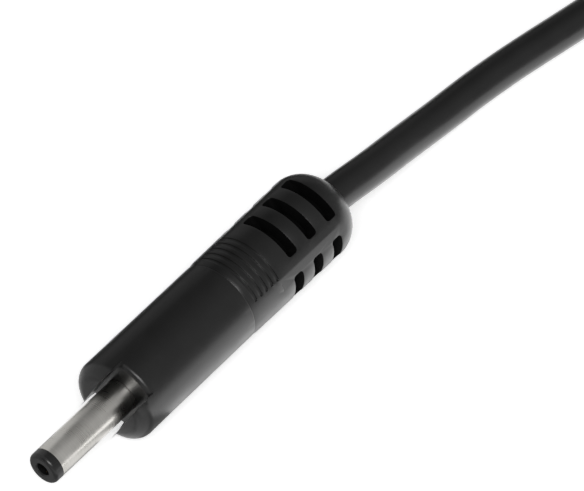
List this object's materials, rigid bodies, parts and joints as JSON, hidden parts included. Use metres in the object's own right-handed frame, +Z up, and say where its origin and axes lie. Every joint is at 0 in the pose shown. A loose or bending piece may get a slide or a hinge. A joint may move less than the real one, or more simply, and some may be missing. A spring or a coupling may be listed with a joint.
{
  "type": "dc barrel plug",
  "caption": "Moulded DC power plug: a slim plated barrel in a round black shell, a slotted strain relief and a thin two-core lead with stripped ends.",
  "frame": {"origin": "on the surface the plug lies on, under the middle of the plug without its lead", "axes": "-Y towards the tip of the barrel, +Y towards the lead, +Z up, +X to the right when looking along +Y"},
  "size_m": [0.026, 0.1841, 0.0092],
  "materials": {
    "plated_steel": "nickel plated, satin from machining",
    "nose_plastic": "black, lightly polished",
    "contact_metal": "thin gold-coloured plating",
    "natural_plastic": "natural, unpigmented",
    "tinned_tab": "tin plated",
    "solder": "dull solder",
    "copper": "bare copper strands",
    "core_red": "smooth",
    "core_black": "smooth",
    "jacket": "soft, satin",
    "inner_moulding": "natural, hidden",
    "shell": "soft, satin, finely textured",
    "tie": "smooth",
    "tinned_strands": "tinned"
  },
  "bodies": {
    "root": {"barrel_sleeve": "plated_steel", "nose_insulator": "nose_plastic", "centre_contact": "contact_metal", "rear_insulator": "natural_plastic", "solder_tab": "tinned_tab", "front_shell": "shell", "strain_relief": "shell", "inner_mould": "inner_moulding", "jacket_end": "jacket", "centre_core": "core_red", "sleeve_core": "core_black", "centre_strands": "copper", "sleeve_strands": "copper", "centre_solder": "solder", "sleeve_solder": "solder", "lead_tube": "jacket", "lead_hank": "jacket", "lead_tail": "jacket", "hank_tie": "tie", "far_core_a": "core_red", "far_core_b": "core_black", "far_tip_a": "tinned_strands", "far_tip_b": "tinned_strands"}
  },
  "joints": []
}
